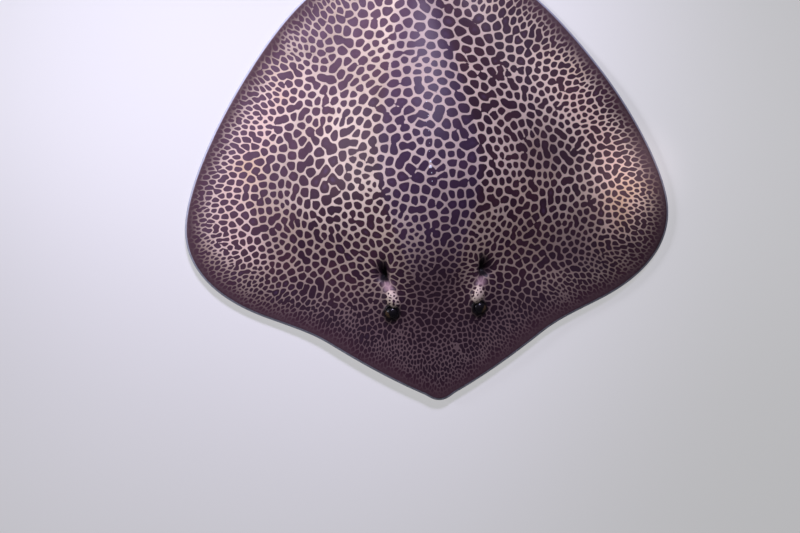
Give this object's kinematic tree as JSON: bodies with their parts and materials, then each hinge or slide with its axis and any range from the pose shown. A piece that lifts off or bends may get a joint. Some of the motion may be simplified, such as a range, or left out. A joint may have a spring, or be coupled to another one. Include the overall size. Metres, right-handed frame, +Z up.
{
  "type": "honeycomb whipray",
  "caption": "Life-size still model of a honeycomb whipray at rest: rhomboid disc with raised brows and spiracles, small pelvic lobes and a long whip tail laid on the ground with a serrated sting.",
  "frame": {"origin": "on the flat of the belly, under the thickest part of the trunk, at ground level", "axes": "+Z up; -Y towards the tip of the snout; +X to the animal's own left side"},
  "size_m": [1, 2.8555, 0.1087],
  "materials": {
    "skin": "wet-looking leathery skin, near-black polygons parted by thin tan lines above, white below",
    "sting": "dull ivory bone with fine barbs",
    "eye": "clear wet cornea over a bronze iris and a dark crescent pupil"
  },
  "bodies": {
    "root": {"snout": "skin", "head": "skin", "trunk": "skin", "pectoral_fin_left": "skin", "pectoral_fin_right": "skin", "pelvic_fin_left": "skin", "pelvic_fin_right": "skin", "tail_base": "skin", "tail_fore": "skin", "tail_middle": "skin", "tail_whip": "skin", "tail_tip": "skin", "tail_sting": "sting", "eye_left": "eye", "eye_right": "eye"}
  },
  "joints": []
}
